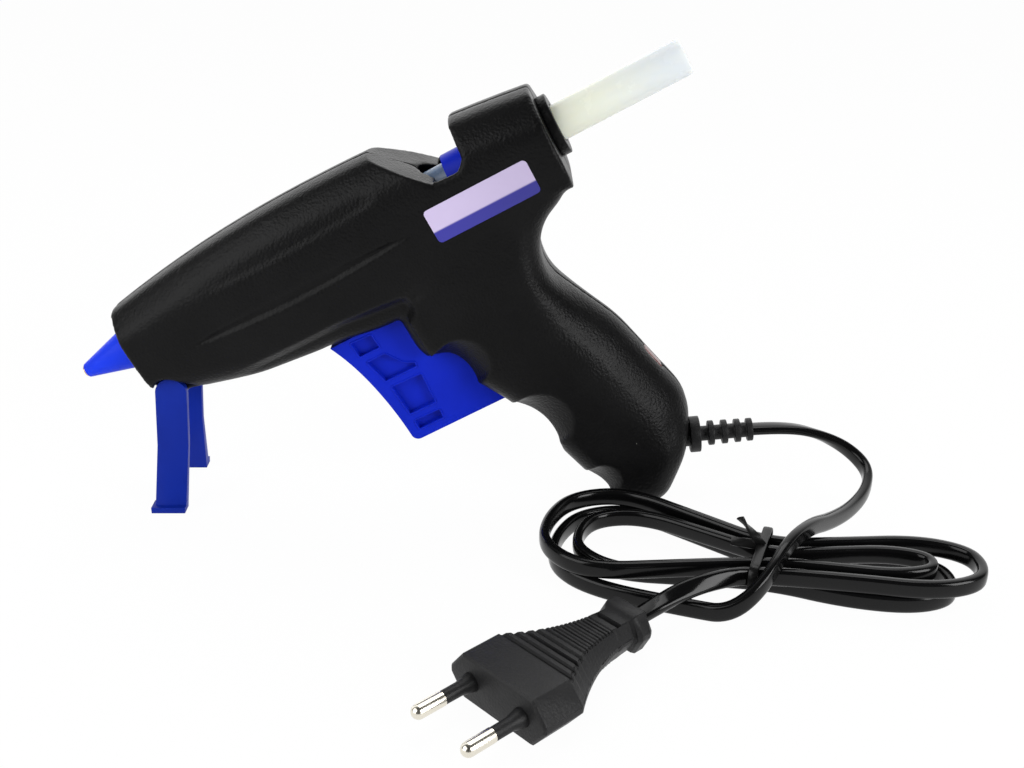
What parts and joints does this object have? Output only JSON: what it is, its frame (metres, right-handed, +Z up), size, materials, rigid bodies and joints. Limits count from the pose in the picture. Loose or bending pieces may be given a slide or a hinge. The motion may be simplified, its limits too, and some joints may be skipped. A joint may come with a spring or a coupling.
{
  "type": "hot glue gun",
  "caption": "Pistol-grip hot-melt glue gun with a conical nozzle, sliding trigger, flip stand, loaded glue stick and a tied mains cord with a flat two-pin plug.",
  "frame": {"origin": "on the surface the gun stands on, below the middle of the gun without its cord", "axes": "+X from the nozzle towards the handle, +Y towards the far side of the casing (screw heads), +Z up"},
  "size_m": [0.2761, 0.161, 0.148],
  "materials": {
    "black_plastic": "fine spark-eroded matte",
    "label": "satin film",
    "brass": "turned",
    "blue_plastic": "satin",
    "steel": "plain",
    "cast_aluminium": "as cast",
    "ceramic": "fired ceramic",
    "amber_film": "polyimide film",
    "nickel": "nickel plated",
    "silicone": "matte silicone",
    "glue": "translucent",
    "red_lens": "clear tinted",
    "lamp_glass": "clear",
    "wire_cover": "glass-fibre sleeve",
    "cord_cover": "soft vinyl",
    "tie_cover": "vinyl covered wire"
  },
  "bodies": {
    "casing": {"ball_spring": "steel", "clamp_screw_1": "steel", "clamp_screw_2": "steel", "cord_clamp": "black_plastic", "cord_end": "cord_cover", "cord_hank": "cord_cover", "cord_lead": "cord_cover", "heater_insulation": "amber_film", "heating_chamber": "cast_aluminium", "housing_screw_1": "steel", "housing_screw_2": "steel", "housing_screw_3": "steel", "housing_screw_4": "steel", "housing_screw_5": "steel", "housing_screw_6": "steel", "indicator_lamp": "lamp_glass", "indicator_lens": "red_lens", "inlet_sleeve": "silicone", "label_plate": "label", "lamp_resistor": "ceramic", "left_housing": "black_plastic", "lower_electrode": "cast_aluminium", "lower_lead": "wire_cover", "nozzle": "brass", "nozzle_boot": "blue_plastic", "pin_sleeve_1": "cord_cover", "pin_sleeve_2": "cord_cover", "plug_body": "cord_cover", "plug_lead": "cord_cover", "plug_pin_1": "nickel", "plug_pin_2": "nickel", "ptc_element": "ceramic", "rear_guide_ring": "black_plastic", "right_housing": "black_plastic", "rocker_pin": "steel", "rocker_spring": "steel", "strain_relief": "cord_cover", "thermal_fuse": "nickel", "twist_tie": "tie_cover", "upper_electrode": "cast_aluminium", "upper_lead": "wire_cover"},
    "trigger": {"trigger": "blue_plastic"},
    "carriage": {"feed_carriage": "blue_plastic", "gripper_pin": "steel"},
    "gripper": {"stick_gripper": "steel"},
    "stick": {"glue_stick": "glue"},
    "rocker": {"rocker_lever": "black_plastic"},
    "ball": {"check_ball": "steel"},
    "stand": {"stand": "blue_plastic"}
  },
  "joints": [
    {"name": "trigger_slide", "type": "slide", "parent": "casing", "child": "trigger", "axis": [0.8829, 0, 0.4695], "range_m": [0, 0.008], "stiffness_N_per_m": 1200, "springref_m": -0.003},
    {"name": "carriage_slide", "type": "slide", "parent": "casing", "child": "carriage", "axis": [0.8829, 0, 0.4695], "range_m": [-0.006, 0]},
    {"name": "stick_feed", "type": "slide", "parent": "casing", "child": "stick", "axis": [0.8829, 0, 0.4695], "range_m": [-0.006, 0]},
    {"name": "rocker_turn", "type": "hinge", "parent": "casing", "child": "rocker", "pos_m": [0.0308, 0, 0.08385], "axis": [0, -1, 0], "range_deg": [0, 28.1]},
    {"name": "gripper_tip", "type": "hinge", "parent": "carriage", "child": "gripper", "pos_m": [0.03309, 0, 0.09956], "axis": [0, -1, 0], "range_deg": [0, 12.1]},
    {"name": "ball_lift", "type": "slide", "parent": "casing", "child": "ball", "axis": [-0.8829, 0, -0.4695], "range_m": [0, 0.0012], "stiffness_N_per_m": 50, "springref_m": -0.001},
    {"name": "stand_fold", "type": "hinge", "parent": "casing", "child": "stand", "pos_m": [-0.0682, 0, 0.0395], "axis": [0, -1, 0], "range_deg": [0, 75]}
  ],
  "couplings": [
    {"joint": "carriage_slide", "follows": "trigger_slide", "ratio": -0.75},
    {"joint": "stick_feed", "follows": "trigger_slide", "ratio": -0.75},
    {"joint": "rocker_turn", "follows": "trigger_slide", "rad_per_m": 61.24},
    {"joint": "gripper_tip", "follows": "trigger_slide", "rad_per_m": 26.18}
  ]
}
